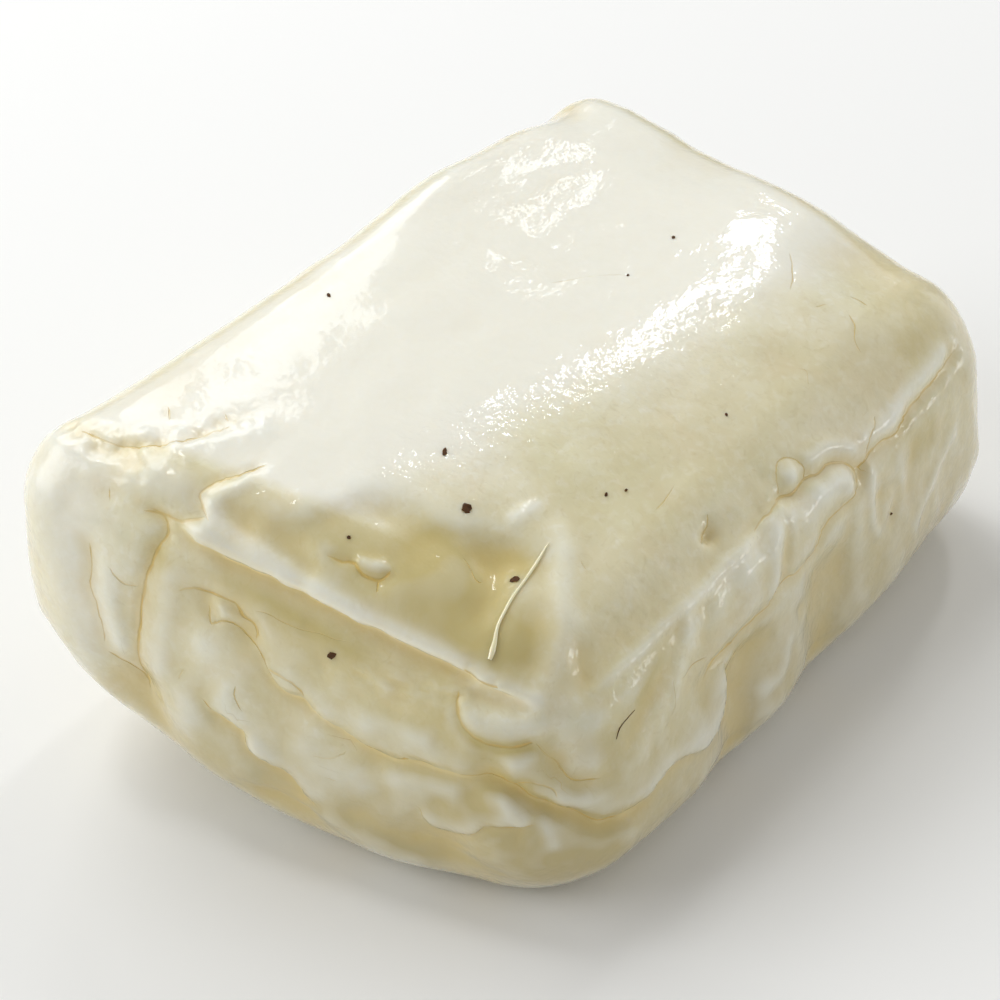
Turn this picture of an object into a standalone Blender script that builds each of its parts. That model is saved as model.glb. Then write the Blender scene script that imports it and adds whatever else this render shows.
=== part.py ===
"""Halloumi: one uncut block of semi-hard cheese, wet from its brine.

The curd was pressed flat, folded over on itself round a few mint leaves and pressed again, so the
block is a single solid. Its top is level and slopes to a shoulder along the -Y side. The open
edges of the fold show on the -X end and on the -Y side, where the layers meet in lips and
creases. Lengths below are millimetres, heights are above the surface that it rests on, and a
bearing is the angle round the block's upright middle axis, from +X towards +Y.
"""
import math

import bmesh
import bpy
import numpy as np
from mathutils import Matrix, Vector, noise

MM = 0.001

# ---------------------------------------------------------------- the pressed block
LENGTH = 102.6
WIDTH = 66.5
HEIGHT = 43.3
MIDDLE = np.array([0.0, 0.0, 22.0])

# The flat faces left by pressing: bearing and rise of each, and how far it lies from the middle.
FACES = {
    "top": (-104.5, 83.0, 17.1),
    "shoulder": (-102.1, 68.8, 17.7),
    "nose": (-166.1, 53.5, 43.3),
    "fold_side": (-90.8, 9.6, 29.2),
    "plain_side": (90.3, 3.1, 33.6),
    "fold_end": (-164.2, 10.7, 43.9),
    "plain_end": (-2.7, 7.1, 46.2),
    "under_end": (172.0, -47.0, 50.9),
    "under_side": (-79.7, -50.0, 37.9),
    "underside": (0.0, -90.0, 22.0),
}
EDGE_RADIUS = 7.5
# Top and shoulder meet in a much crisper bend than the other faces do.
BEND_ROUNDING = 1.2
# Two lower corners of the fold end are rounder: where, how far that reaches, and the added radius.
ROUNDER_CORNERS = [((-40.0, -26.0, 4.0), 20.0, 4.2), ((-46.0, 28.0, 4.0), 20.0, 12.0)]

# A box inside the block from which its skin is fanned out, and the size of the starting cube.
CORE_LOW = np.array([-31.0, -15.0, 13.0])
CORE_HIGH = np.array([33.0, 17.0, 25.0])
CUBE_LOW = np.array([-46.0, -28.5, 0.0])
CUBE_HIGH = np.array([46.0, 29.5, 40.5])
SKIN_STEP = 1.1
SKIN_TRIANGLES = 10200

# ---------------------------------------------------------------- how a stroke in the skin dies out
# Reach of a bell-shaped ridge, and of a crease with its sharper slopes, in widths.
RIDGE_REACH = 3.0
CREASE_REACH = 6.0
# Share of a stroke's length over which it fades at each end.
END_FADE = 0.14
# How far down the skin faces where the folds begin to fade, and where the underside is all flat.
FADE_FROM = 0.25
FLAT_FROM = 0.875

# ---------------------------------------------------------------- folds, by bearing and height
FLAP_EDGE = [(161.2, 37.5), (166.0, 35.8), (172.5, 34.3), (181.9, 32.8), (193.0, 30.6),
             (204.7, 28.5), (212.8, 26.3)]
MAIN_CREASE = [(168.8, 29.8), (174.1, 29.1), (177.1, 25.6), (181.5, 22.1), (188.0, 19.8),
               (197.0, 18.8), (209.9, 19.0), (216.0, 15.5), (222.6, 12.3), (228.1, 11.7)]
DEEP_CREASE = [(210.9, 18.7), (215.5, 15.9), (220.6, 13.4)]
LOBE_CREASE = [(162.2, 37.0), (164.3, 33.3), (163.4, 28.9), (164.4, 22.4), (163.8, 14.8)]
LOBE_FOLD = [(157.7, 33.5), (157.8, 29.7), (159.1, 25.1)]
KNOB = [(204.0, 23.9), (208.6, 24.4), (213.4, 24.2)]
KNOB_CREASE = [(202.2, 27.2), (204.0, 23.9), (207.2, 22.1), (213.4, 22.5)]
CORNER_CREASE = [(213.4, 22.6), (216.5, 19.2), (220.1, 17.5)]
LOW_FOLD = [(171.2, 18.3), (177.1, 15.6), (178.6, 13.2), (183.6, 10.6), (187.6, 7.4)]
FRONT_RIDGE = [(214.3, 31.8), (217.1, 29.3), (217.6, 26.0)]

SIDE_LIP = [(220.9, 25.3), (233.8, 26.2), (249.4, 27.1), (260.8, 27.8), (271.6, 28.1)]
# How far above the side's lip the skin dips, before it rises to the shoulder.
LIP_GUTTER = 2.3
SIDE_CREASE = [(260.3, 27.8), (273.3, 28.4), (281.9, 29.2), (290.5, 28.1), (296.5, 26.1),
               (310.6, 26.7), (320.7, 28.8), (325.7, 28.8)]
SIDE_BRANCH = [(295.1, 25.0), (287.6, 23.4), (281.6, 22.5), (272.7, 21.3), (261.0, 20.4),
               (247.2, 19.5), (240.2, 18.4)]
SIDE_PLEATS = [[(267.0, 27.2), (261.5, 20.0)], [(297.8, 23.8), (297.0, 17.5)],
               [(241.5, 24.5), (236.2, 16.7)], [(269.8, 20.1), (263.7, 11.2)],
               [(313.9, 24.6), (308.6, 12.8)]]
SIDE_HOLLOWS = [[(271.4, 26.2), (267.4, 21.1)], [(251.0, 25.1), (246.8, 22.9)],
                [(302.5, 21.5), (300.8, 13.6)], [(228.6, 22.6), (225.1, 14.5)]]
BASE_NOTCHES = [[(249.0, 4.0), (253.0, 14.0)], [(281.0, 4.0), (283.0, 16.0)],
                [(186.0, 3.0), (180.0, 7.0)], [(206.0, 3.0), (202.0, 8.0)], [(163.0, 16.0)]]

# ---------------------------------------------------------------- folds, by x and y on the top
LOBE_GROOVE = [(-45.3, 26.9), (-44.1, 23.3), (-42.4, 19.5), (-39.1, 17.2), (-34.5, 13.8)]
LOBE_RIM = [(-47.3, 25.9), (-46.8, 22.2), (-45.9, 18.4)]
NOSE_LOBE = [(-43.9, 17.9), (-42.3, 14.1)]
NOSE_CREASE = [(-45.6, 12.6), (-44.0, 9.7), (-43.1, 11.7), (-41.2, 11.0), (-37.7, 8.1)]
# Slack places along the block's upper edges: (x, y, rise, reach).
EDGE_SLACK = [(-40.3, 27.6, -0.5, 7.0), (-35.1, 26.8, -0.9, 8.0), (-27.0, 28.0, -1.0, 8.0),
              (-15.8, 28.2, -1.2, 8.0), (-4.1, 29.9, -0.6, 7.0), (12.8, 30.7, 1.0, 7.0),
              (35.4, 29.4, -1.8, 5.5), (38.9, 9.6, -1.0, 7.0), (36.8, -16.1, -2.3, 7.5)]
HOLLOW_EDGE = [(-43.3, 12.6), (-40.1, 8.4), (-37.3, 4.2), (-32.9, 0.6), (-31.2, -3.9),
               (-28.0, -8.3), (-26.3, -12.3), (-23.3, -15.6)]
HOLLOW = [(-40.5, 5.0), (-39.6, -1.0), (-35.6, -7.2), (-30.9, -12.3), (-27.7, -15.5)]
HOLLOW_DENTS = [[(-41.3, 1.2)], [(-38.0, -6.0)], [(-32.5, -13.4)]]
HOLLOW_CREASE = [(-40.0, -2.1), (-38.9, -5.1), (-37.0, -7.4)]
CURD_LUMPS = [[(-38.7, -4.8)], [(-37.7, -6.2)]]
TOP_DENTS = [[(-37.3, 21.2)], [(-35.0, 16.5)], [(-8.6, -24.0)]]

# ---------------------------------------------------------------- unevenness left by hand
SWELL_SIZE = 17.0
SWELL_ON_TOP = 0.10
SWELL_ON_WALL = 0.25
PLEAT_SIZE = np.array([6.0, 6.0, 15.0])
PLEAT_DEPTH = 0.6

# ---------------------------------------------------------------- mint flecks, by x and y
# Each is (x, y, length, width, turn in degrees).
FLECKS = [(-23.4, -2.1, 1.9, 0.8, 50.0), (-27.1, -7.9, 1.7, 1.5, 20.0), (-37.5, -2.2, 0.8, 0.7, 0.0),
          (-29.1, -15.4, 1.8, 1.1, -60.0), (-14.8, -15.6, 0.8, 0.6, 30.0),
          (-12.9, -16.8, 0.6, 0.5, 0.0), (21.5, 1.6, 0.9, 0.7, 10.0),
          (-12.9, 22.8, 1.1, 0.5, -20.0), (3.8, -17.8, 0.6, 0.5, 70.0)]
END_FLECK = (186.4, 27.3, 1.5, 1.2, 40.0)
FLECK_THICKNESS = 0.5
FLECK_SIDES = 6


def facing(bearing, rise):
    """Unit vector that points along a bearing, raised above the horizon."""
    turn = math.radians(bearing)
    lift = math.radians(rise)
    return np.array([math.cos(turn) * math.cos(lift), math.sin(turn) * math.cos(lift),
                     math.sin(lift)])


def height_over_block(points):
    """Rough distance of points outside the pressed block, below zero inside it."""
    radius = np.full(len(points), EDGE_RADIUS)
    for place, reach, added in ROUNDER_CORNERS:
        away = np.sum(((points - np.array(place)) / reach) ** 2, axis=1)
        radius += added * np.exp(-away)
    over = {name: (points - MIDDLE) @ facing(bearing, rise) - distance
            for name, (bearing, rise, distance) in FACES.items()}
    top, shoulder = over.pop("top"), over.pop("shoulder")
    over["roof"] = (top + shoulder + np.sqrt((top - shoulder) ** 2 + BEND_ROUNDING ** 2)) / 2
    total = np.zeros(len(points))
    nearest = np.full(len(points), -1e9)
    for height in over.values():
        total += np.maximum(height + radius, 0.0) ** 2
        nearest = np.maximum(nearest, height)
    return np.where(total > 0.0, np.sqrt(total) - radius, nearest)


def walk_to_skin(starts, ways):
    """Goes from points inside the block along unit ways until it meets the skin."""
    near = np.zeros(len(starts))
    far = np.full(len(starts), LENGTH)
    for _ in range(26):
        half = (near + far) / 2
        inside = height_over_block(starts + ways * half[:, None]) < 0.0
        near = np.where(inside, half, near)
        far = np.where(inside, far, half)
    return starts + ways * near[:, None]


def skin_normals(points):
    """Outward unit normals of the pressed block at points of its skin."""
    step = 0.4
    slopes = [height_over_block(points + step * axis) - height_over_block(points - step * axis)
              for axis in np.eye(3)]
    normals = np.stack(slopes, axis=1)
    return normals / np.linalg.norm(normals, axis=1, keepdims=True)


def on_wall(path):
    """Skin points for (bearing, height) pairs."""
    ways = np.array([facing(bearing, 0.0) for bearing, _ in path])
    starts = np.array([(0.0, 0.0, height) for _, height in path])
    return walk_to_skin(starts, ways)


def on_top(path):
    """Skin points straight above (x, y) pairs."""
    starts = np.array([(x, y, MIDDLE[2]) for x, y in path])
    inner = np.clip(starts, CORE_LOW, CORE_HIGH)
    height = walk_to_skin(inner, np.tile([0.0, 0.0, 1.0], (len(path), 1)))[:, 2]
    for _ in range(12):
        tops = np.column_stack([starts[:, :2], height])
        height = height - height_over_block(tops)
    return np.column_stack([starts[:, :2], height])


def smooth_path(points, step=0.8):
    """Close points along a Catmull-Rom curve through the given ones."""
    if len(points) == 1:
        return points
    ends = [2 * points[0] - points[1], *points, 2 * points[-1] - points[-2]]
    curve = []
    for a, b, c, d in zip(ends, ends[1:], ends[2:], ends[3:]):
        count = max(2, int(np.linalg.norm(c - b) / step))
        for t in np.arange(count) / count:
            curve.append(0.5 * (2 * b + (c - a) * t + (2 * a - 5 * b + 4 * c - d) * t ** 2
                                + (3 * b - a - 3 * c + d) * t ** 3))
    curve.append(points[-1])
    return np.array(curve)


class Skin:
    """The skin's points, and what the folds add to them: lift outward and a sideways push."""

    def __init__(self, points):
        self.points = points
        self.normals = skin_normals(points)
        self.lift = np.zeros(len(points))
        self.push = np.zeros((len(points), 3))
        self.waver = np.array([noise.noise(Vector(p / 2.6)) for p in points])

    def beside(self, path, reach):
        """Points near a path: which, signed distance to its left, and how far from its ends."""
        low = path.min(axis=0) - reach
        high = path.max(axis=0) + reach
        near = np.nonzero(np.all((self.points > low) & (self.points < high), axis=1))[0]
        gaps = self.points[near, None, :] - path[None, :, :]
        away = np.linalg.norm(gaps, axis=2)
        closest = np.argmin(away, axis=1)
        away = away[np.arange(len(near)), closest]
        near, closest, away = near[away < reach], closest[away < reach], away[away < reach]
        if len(path) == 1:
            return near, away, np.full(len(near), 1.0), np.zeros((len(near), 3))
        along = np.gradient(path, axis=0)
        along /= np.linalg.norm(along, axis=1, keepdims=True)
        left = np.cross(self.normals[near], along[closest])
        offset = np.sum((self.points[near] - path[closest]) * left, axis=1)
        side = np.where(offset >= 0.0, 1.0, -1.0)
        from_end = np.minimum(closest, len(path) - 1 - closest) / (len(path) - 1)
        return near, side * away, from_end, left

    def ridge(self, path, height, width):
        """A rounded ridge, or with a negative height a trough or a dent."""
        near, across, _, _ = self.beside(smooth_path(path), RIDGE_REACH * width)
        self.lift[near] += height * np.exp(-(across / width) ** 2)

    def crease(self, path, depth, width, wander=0.5):
        """A sharp crease between two rounded banks, fading to its ends."""
        near, across, from_end, _ = self.beside(smooth_path(path), CREASE_REACH * width)
        fade = np.clip(from_end / END_FADE, 0.0, 1.0) ** 0.5
        across = np.abs(across + wander * width * self.waver[near])
        self.lift[near] -= depth * fade * np.exp(-across / width)

    def lip(self, path, rise, drop, spread, overhang, edge):
        """A step whose left bank stands proud and leans out over the right one."""
        near, across, from_end, left = self.beside(smooth_path(path), RIDGE_REACH * spread)
        fade = np.clip(from_end / END_FADE, 0.0, 1.0)
        fade = fade * fade * (3.0 - 2.0 * fade)
        across = across + 0.5 * self.waver[near]
        upper = 0.5 + 0.5 * np.tanh(across / edge)
        bank = np.exp(-np.abs(across) / spread)
        self.lift[near] += fade * bank * (upper * rise - (1.0 - upper) * drop)
        lean = overhang * fade * np.exp(-((across - 0.6 * edge) / (1.2 * edge)) ** 2)
        self.push[near] -= left * lean[:, None]

    def settled(self):
        """The finished points: folds added, underside kept flat."""
        downward = -self.normals[:, 2]
        flat = np.clip((downward - FADE_FROM) / (FLAT_FROM - FADE_FROM), 0.0, 1.0)
        free = (1.0 - flat)[:, None]
        moved = self.points + free * (self.normals * self.lift[:, None] + self.push)
        moved[:, 2] = np.maximum(moved[:, 2], 0.0)
        return moved


def press_folds(skin):
    """Everything that folding and pressing the curd left in the skin."""
    skin.lip(on_wall(FLAP_EDGE), rise=0.7, drop=1.4, spread=3.6, overhang=0.8, edge=0.6)
    skin.crease(on_wall(MAIN_CREASE), depth=1.3, width=0.9)
    skin.lip(on_wall(MAIN_CREASE), rise=0.6, drop=0.2, spread=3.2, overhang=0.5, edge=0.7)
    skin.crease(on_wall(DEEP_CREASE), depth=1.2, width=0.9)
    skin.crease(on_wall(LOBE_CREASE), depth=1.9, width=1.0)
    skin.ridge(on_wall(LOBE_FOLD), height=-0.6, width=1.7)
    skin.ridge(on_wall(KNOB), height=1.1, width=2.3)
    skin.crease(on_wall(KNOB_CREASE), depth=0.9, width=0.8)
    skin.crease(on_wall(CORNER_CREASE), depth=1.0, width=0.8)
    skin.crease(on_wall(LOW_FOLD), depth=0.9, width=0.8)
    skin.ridge(on_wall(FRONT_RIDGE), height=0.6, width=1.7)
    skin.ridge(on_wall(SIDE_LIP), height=0.6, width=1.1)
    raised = [(bearing, height + LIP_GUTTER) for bearing, height in SIDE_LIP]
    skin.ridge(on_wall(raised), height=-0.5, width=1.7)
    skin.crease(on_wall(SIDE_CREASE), depth=1.4, width=0.9)
    skin.lip(on_wall(SIDE_CREASE[3:]), rise=0.6, drop=0.5, spread=3.4, overhang=0.5, edge=0.7)
    skin.crease(on_wall(SIDE_BRANCH), depth=0.8, width=0.8)
    for pleat in SIDE_PLEATS:
        skin.ridge(on_wall(pleat), height=0.5, width=1.8)
    for hollow in SIDE_HOLLOWS:
        skin.ridge(on_wall(hollow), height=-0.6, width=1.9)
    for notch in BASE_NOTCHES:
        skin.ridge(on_wall(notch), height=-2.2, width=4.2)
    skin.crease(on_top(LOBE_GROOVE), depth=1.3, width=1.6)
    skin.ridge(on_top(LOBE_RIM), height=0.4, width=1.4)
    skin.ridge(on_top(NOSE_LOBE), height=0.6, width=2.2)
    skin.crease(on_top(NOSE_CREASE), depth=0.9, width=0.7)
    skin.lip(on_top(HOLLOW_EDGE), rise=0.2, drop=0.7, spread=4.6, overhang=0.0, edge=1.3)
    skin.ridge(on_top(HOLLOW), height=-0.4, width=3.6)
    for dent in HOLLOW_DENTS:
        skin.ridge(on_top(dent), height=-0.5, width=2.4)
    skin.crease(on_top(HOLLOW_CREASE), depth=0.9, width=0.6)
    for lump in CURD_LUMPS:
        skin.ridge(on_top(lump), height=0.6, width=0.8)
    for x, y, rise, reach in EDGE_SLACK:
        skin.ridge(on_top([(x, y)]), height=rise, width=reach)
    for dent in TOP_DENTS:
        skin.ridge(on_top(dent), height=-0.6, width=1.2)


def hand_unevenness(skin):
    """Soft swells everywhere, stronger and drawn upright on the walls than on the pressed top."""
    for index, point in enumerate(skin.points):
        wall = 1.0 - abs(skin.normals[index, 2])
        broad = noise.noise(Vector(point / SWELL_SIZE))
        tall = noise.noise(Vector(point / PLEAT_SIZE))
        skin.lift[index] += (SWELL_ON_TOP + SWELL_ON_WALL * wall) * broad
        skin.lift[index] += PLEAT_DEPTH * wall * tall


def subdivided_cube():
    """A cube whose edges are cut so that the skin's cells come out nearly square."""
    shell = bmesh.new()
    bmesh.ops.create_cube(shell, size=1.0)
    size = CUBE_HIGH - CUBE_LOW
    for axis in range(3):
        rungs = []
        for edge in shell.edges:
            run = edge.verts[1].co - edge.verts[0].co
            if abs(run[axis]) > 0.5:
                rungs.append(edge)
        cuts = int(size[axis] / SKIN_STEP)
        bmesh.ops.subdivide_edges(shell, edges=rungs, cuts=cuts, use_grid_fill=True)
    for vert in shell.verts:
        spot = CUBE_LOW + (np.array(vert.co) + 0.5) * size
        vert.co = Vector(spot)
    return shell


def make_block(material, collection):
    """The block: a subdivided cube drawn out to the pressed form, then folded."""
    shell = subdivided_cube()
    spots = np.array([vert.co for vert in shell.verts])
    roots = np.clip(spots, CORE_LOW, CORE_HIGH)
    ways = spots - roots
    ways /= np.linalg.norm(ways, axis=1, keepdims=True)
    skin = Skin(walk_to_skin(roots, ways))
    press_folds(skin)
    hand_unevenness(skin)
    for vert, place in zip(shell.verts, skin.settled()):
        vert.co = Vector(place) * MM
    bmesh.ops.recalc_face_normals(shell, faces=shell.faces)
    mesh = bpy.data.meshes.new("halloumi_block")
    shell.to_mesh(mesh)
    shell.free()
    mesh.shade_smooth()
    mesh.materials.append(material)
    block = bpy.data.objects.new("halloumi", mesh)
    collection.objects.link(block)
    thin = block.modifiers.new("even_triangles", "DECIMATE")
    thin.ratio = min(1.0, SKIN_TRIANGLES / (2 * len(mesh.polygons)))
    apply_modifiers(block)
    return block


def apply_modifiers(thing):
    """Turns an object's mesh into the one that its modifiers give."""
    graph = bpy.context.evaluated_depsgraph_get()
    graph.update()
    finished = bpy.data.meshes.new_from_object(thing.evaluated_get(graph))
    thing.modifiers.clear()
    thing.data = finished


def make_fleck(index, place, normal, length, width, turn, collection):
    """A flat six-sided scrap of mint leaf, half sunk in the curd."""
    scrap = bmesh.new()
    bmesh.ops.create_cone(scrap, cap_ends=True, cap_tris=True, segments=FLECK_SIDES,
                          radius1=0.5, radius2=0.38, depth=1.0)
    size = Matrix.Diagonal((length, width, FLECK_THICKNESS, 1.0))
    spin = Matrix.Rotation(math.radians(turn), 4, "Z")
    upright = Vector(normal).to_track_quat("Z", "Y").to_matrix().to_4x4()
    stand = Matrix.Translation(Vector(place)) @ upright @ spin @ size
    bmesh.ops.transform(scrap, matrix=Matrix.Scale(MM, 4) @ stand, verts=scrap.verts)
    mesh = bpy.data.meshes.new(f"fleck_{index}")
    scrap.to_mesh(mesh)
    scrap.free()
    fleck = bpy.data.objects.new(f"fleck_{index}", mesh)
    collection.objects.link(fleck)


def skin_height_at(block, start, way):
    """Where a line from outside meets the finished block, and the normal there, in mm."""
    hit, place, normal, _ = block.ray_cast(Vector(start) * MM, Vector(way))
    assert hit, "a fleck misses the block"
    return np.array(place) / MM, normal


def fuse_flecks(block, scraps):
    """Lays the mint flecks on the block and joins them to it."""
    for index, (x, y, length, width, turn) in enumerate(FLECKS):
        place, normal = skin_height_at(block, (x, y, 2 * HEIGHT), (0, 0, -1))
        make_fleck(index, place, normal, length, width, turn, scraps)
    bearing, height, length, width, turn = END_FLECK
    way = facing(bearing, 0.0)
    start = way * LENGTH + np.array([0.0, 0.0, height])
    place, normal = skin_height_at(block, start, -way)
    make_fleck(len(FLECKS), place, normal, length, width, turn, scraps)
    union = block.modifiers.new("flecks", "BOOLEAN")
    union.operation = "UNION"
    union.operand_type = "COLLECTION"
    union.collection = scraps
    union.solver = "EXACT"
    apply_modifiers(block)
    block.data.set_sharp_from_angle(angle=math.radians(50.0))
    for scrap in list(scraps.objects):
        bpy.data.objects.remove(scrap)
    bpy.data.collections.remove(scraps)


def set_on_origin(block):
    """Trims the finished block to its size, centred over the origin and resting on z = 0."""
    corners = np.array([vert.co for vert in block.data.vertices])
    low, high = corners.min(axis=0), corners.max(axis=0)
    foot = Vector(((low[0] + high[0]) / 2, (low[1] + high[1]) / 2, low[2]))
    trim = np.array([LENGTH, WIDTH, HEIGHT]) * MM / (high - low)
    block.data.transform(Matrix.Diagonal((*trim, 1.0)) @ Matrix.Translation(-foot))


def curd_material():
    """Wet white curd: pale ivory, soft gloss, a little light carried under the surface."""
    curd = bpy.data.materials.new("curd")
    curd.use_nodes = True
    shader = curd.node_tree.nodes["Principled BSDF"]
    shader.inputs["Base Color"].default_value = (0.86, 0.84, 0.68, 1.0)
    shader.inputs["Roughness"].default_value = 0.32
    shader.inputs["Metallic"].default_value = 0.0
    shader.inputs["IOR"].default_value = 1.45
    return curd


def build():
    for thing in list(bpy.data.objects):
        bpy.data.objects.remove(thing)
    cheese = bpy.data.collections.new("halloumi_block")
    scraps = bpy.data.collections.new("fleck_cutters")
    bpy.context.scene.collection.children.link(cheese)
    bpy.context.scene.collection.children.link(scraps)
    block = make_block(curd_material(), cheese)
    fuse_flecks(block, scraps)
    set_on_origin(block)


build()
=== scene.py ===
import math

import bmesh
import bpy
import numpy as np
from mathutils import Matrix, Vector, noise


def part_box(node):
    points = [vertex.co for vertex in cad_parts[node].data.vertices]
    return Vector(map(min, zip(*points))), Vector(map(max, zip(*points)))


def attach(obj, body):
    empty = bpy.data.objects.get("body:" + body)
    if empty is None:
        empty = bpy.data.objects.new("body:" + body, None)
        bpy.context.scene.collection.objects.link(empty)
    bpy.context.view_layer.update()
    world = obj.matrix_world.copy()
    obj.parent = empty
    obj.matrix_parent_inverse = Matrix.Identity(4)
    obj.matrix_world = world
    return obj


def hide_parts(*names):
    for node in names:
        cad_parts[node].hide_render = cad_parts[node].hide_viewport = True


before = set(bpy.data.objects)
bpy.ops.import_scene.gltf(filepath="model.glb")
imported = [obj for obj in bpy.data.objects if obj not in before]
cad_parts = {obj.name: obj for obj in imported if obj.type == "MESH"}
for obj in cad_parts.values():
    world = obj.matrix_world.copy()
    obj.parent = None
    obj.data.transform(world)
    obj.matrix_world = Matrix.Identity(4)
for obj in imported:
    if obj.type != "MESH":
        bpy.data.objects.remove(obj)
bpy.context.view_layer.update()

# ------------------------------------------------------------------------- the block of curd
# The whole cheese: one slab of scalded curd, folded over on itself round a few mint leaves and
# pressed in a cloth, then kept in brine. It is shaped here as it was made: a pressed form with
# flat faces and rounded edges, then the folds, creases and dents that folding left in its skin.
# Lengths are millimetres, and a bearing is the angle round the upright middle axis, from +X.
MM = 0.001
LENGTH = 100.8
MIDDLE = np.array([0.0, 0.0, 22.0])

# The flat faces left by pressing: bearing and rise of each, and how far it lies from the middle.
FACES = {
    "top": (-104.5, 83.0, 17.1),
    "shoulder": (-102.1, 68.8, 17.7),
    "nose": (-166.1, 53.5, 43.3),
    "fold_side": (-90.8, 9.6, 29.2),
    "plain_side": (90.3, 3.1, 33.6),
    "fold_end": (-164.2, 10.7, 43.9),
    "plain_end": (-2.7, 7.1, 46.2),
    "under_end": (172.0, -47.0, 50.9),
    "under_side": (-79.7, -50.0, 37.9),
    "underside": (0.0, -90.0, 22.0),
}
EDGE_RADIUS = 7.5
# Top and shoulder meet in a much crisper bend than the other faces do.
BEND_ROUNDING = 1.2
# Two lower corners of the fold end are rounder: where, how far that reaches, and the added radius.
ROUNDER_CORNERS = [((-40.0, -26.0, 4.0), 20.0, 4.2), ((-46.0, 28.0, 4.0), 20.0, 12.0)]

# A box inside the block from which its skin is fanned out, and the size of the starting cube.
CORE_LOW = np.array([-31.0, -15.0, 13.0])
CORE_HIGH = np.array([33.0, 17.0, 25.0])
CUBE_LOW = np.array([-46.0, -28.5, 0.0])
CUBE_HIGH = np.array([46.0, 29.5, 40.5])
SKIN_STEP = 0.5
# How often the reach of a line is halved to find where it meets the pressed form.
HALVINGS = 26
# How much of a ridge's or a dent's height is left after the cloth has pressed it.
SWELL = 0.82


def facing(bearing, rise):
    """Unit vector that points along a bearing, raised above the horizon."""
    turn = math.radians(bearing)
    lift = math.radians(rise)
    return np.array([math.cos(turn) * math.cos(lift), math.sin(turn) * math.cos(lift),
                     math.sin(lift)])


def height_over_block(points):
    """Rough distance of points outside the pressed block, below zero inside it."""
    radius = np.full(len(points), EDGE_RADIUS)
    for place, reach, added in ROUNDER_CORNERS:
        away = np.sum(((points - np.array(place)) / reach) ** 2, axis=1)
        radius += added * np.exp(-away)
    over = {name: (points - MIDDLE) @ facing(bearing, rise) - distance
            for name, (bearing, rise, distance) in FACES.items()}
    top, shoulder = over.pop("top"), over.pop("shoulder")
    over["roof"] = (top + shoulder + np.sqrt((top - shoulder) ** 2 + BEND_ROUNDING ** 2)) / 2
    total = np.zeros(len(points))
    nearest = np.full(len(points), -1e9)
    for height in over.values():
        total += np.maximum(height + radius, 0.0) ** 2
        nearest = np.maximum(nearest, height)
    return np.where(total > 0.0, np.sqrt(total) - radius, nearest)


def walk_to_skin(starts, ways):
    """Goes from points inside the block along unit ways until it meets the skin."""
    near = np.zeros(len(starts))
    far = np.full(len(starts), LENGTH)
    for _ in range(HALVINGS):
        half = (near + far) / 2
        inside = height_over_block(starts + ways * half[:, None]) < 0.0
        near = np.where(inside, half, near)
        far = np.where(inside, far, half)
    return starts + ways * near[:, None]


def skin_normals(points):
    """Outward unit normals of the pressed block at points of its skin."""
    step = 0.4
    slopes = [height_over_block(points + step * axis) - height_over_block(points - step * axis)
              for axis in np.eye(3)]
    normals = np.stack(slopes, axis=1)
    return normals / np.linalg.norm(normals, axis=1, keepdims=True)


def on_wall(path):
    """Skin points for (bearing, height) pairs."""
    ways = np.array([facing(bearing, 0.0) for bearing, _ in path])
    starts = np.array([(0.0, 0.0, height) for _, height in path])
    return walk_to_skin(starts, ways)


def on_top(path):
    """Skin points straight above (x, y) pairs."""
    starts = np.array([(x, y, MIDDLE[2]) for x, y in path])
    inner = np.clip(starts, CORE_LOW, CORE_HIGH)
    height = walk_to_skin(inner, np.tile([0.0, 0.0, 1.0], (len(path), 1)))[:, 2]
    for _ in range(12):
        tops = np.column_stack([starts[:, :2], height])
        height = height - height_over_block(tops)
    return np.column_stack([starts[:, :2], height])


def smooth_path(points, step=0.3):
    """Close points along a Catmull-Rom curve through the given ones."""
    if len(points) == 1:
        return points
    ends = [2 * points[0] - points[1], *points, 2 * points[-1] - points[-2]]
    curve = []
    for a, b, c, d in zip(ends, ends[1:], ends[2:], ends[3:]):
        count = max(2, int(np.linalg.norm(c - b) / step))
        for t in np.arange(count) / count:
            curve.append(0.5 * (2 * b + (c - a) * t + (2 * a - 5 * b + 4 * c - d) * t ** 2
                                + (3 * b - a - 3 * c + d) * t ** 3))
    curve.append(points[-1])
    return np.array(curve)


def noise_at(points, size, offset=0.0):
    """Smooth noise from -1 to 1 with swells of about the given size."""
    start = Vector((offset, 0.0, 0.0))
    return np.array([noise.noise(Vector(p) + start) for p in points / size])


# A stroke fades out within this many of its widths.
FADE_WIDTHS = 2.6


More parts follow.
